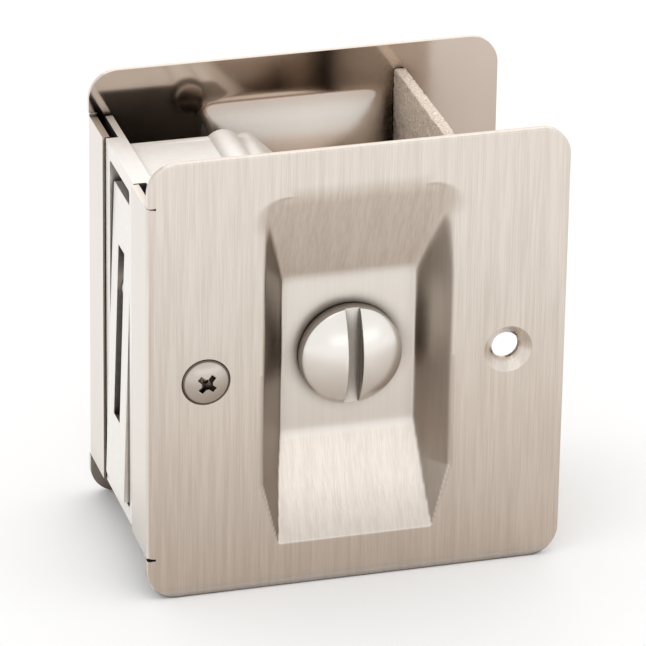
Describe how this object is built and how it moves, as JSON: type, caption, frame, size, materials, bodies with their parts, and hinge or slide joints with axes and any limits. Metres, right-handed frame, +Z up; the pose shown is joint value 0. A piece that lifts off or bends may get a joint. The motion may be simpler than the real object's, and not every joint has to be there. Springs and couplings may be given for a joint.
{
  "type": "pocket door pull with privacy turn",
  "caption": "Two-plate pocket door pull with finger recesses, a spring-back edge pull in a slim case, and a domed turn that swings a hook bolt out of the edge.",
  "frame": {"origin": "on the axis of the turn, halfway through the door, which is the middle of the whole part", "axes": "+X along the plates away from the door edge, +Y through the door from the front plate to the back plate, +Z up"},
  "size_m": [0.064, 0.0388, 0.0698],
  "materials": {
    "satin_sheet": "satin nickel with fine upright brushing",
    "cast_case": "smooth plated die casting",
    "cast_spacer": "rough plated casting with a parting line",
    "pull_metal": "smooth satin plate",
    "polished_metal": "polished nickel plate",
    "screw_metal": "polished nickel plate",
    "plain_steel": "plain plated steel",
    "spring_steel": "plain spring steel"
  },
  "bodies": {
    "base": {"front_plate": "satin_sheet", "back_plate": "satin_sheet", "case_body": "cast_case", "case_cover": "cast_case", "rear_spacer": "cast_spacer", "plate_screws": "screw_metal", "cover_screws": "screw_metal", "hook_pivot_pin": "plain_steel", "edge_pull_pin": "plain_steel", "edge_pull_spring": "spring_steel", "detent_spring": "spring_steel"},
    "turn": {"turn_button": "polished_metal", "spindle": "plain_steel", "drive_hub": "plain_steel", "hub_crank_pin": "plain_steel", "release_turn": "polished_metal", "retaining_rings": "plain_steel"},
    "hook": {"hook_bolt": "plain_steel", "hook_crank_pin": "plain_steel"},
    "link": {"drive_link": "plain_steel"},
    "pull": {"edge_pull": "pull_metal"}
  },
  "joints": [
    {"name": "turn_spin", "type": "hinge", "parent": "base", "child": "turn", "pos_m": [0, 0, 0], "axis": [0, -1, 0], "range_deg": [0, 90], "deforming": ["detent_spring"]},
    {"name": "hook_swing", "type": "hinge", "parent": "base", "child": "hook", "pos_m": [-0.02, 0, -0.01], "axis": [0, -1, 0], "range_deg": [0, 90]},
    {"name": "link_swing", "type": "hinge", "parent": "turn", "child": "link", "pos_m": [-0.00253, 0, -0.00759], "axis": [0, -1, 0], "range_deg": [-90, 0]},
    {"name": "pull_swing", "type": "hinge", "parent": "base", "child": "pull", "pos_m": [-0.0262, 0, 0.0175], "axis": [0, 1, 0], "range_deg": [-1.6, 33], "stiffness_Nm_per_rad": 0.02, "deforming": ["edge_pull_spring"]}
  ],
  "couplings": [
    {"joint": "hook_swing", "follows": "turn_spin", "ratio": 1},
    {"joint": "link_swing", "follows": "turn_spin", "ratio": -1}
  ]
}
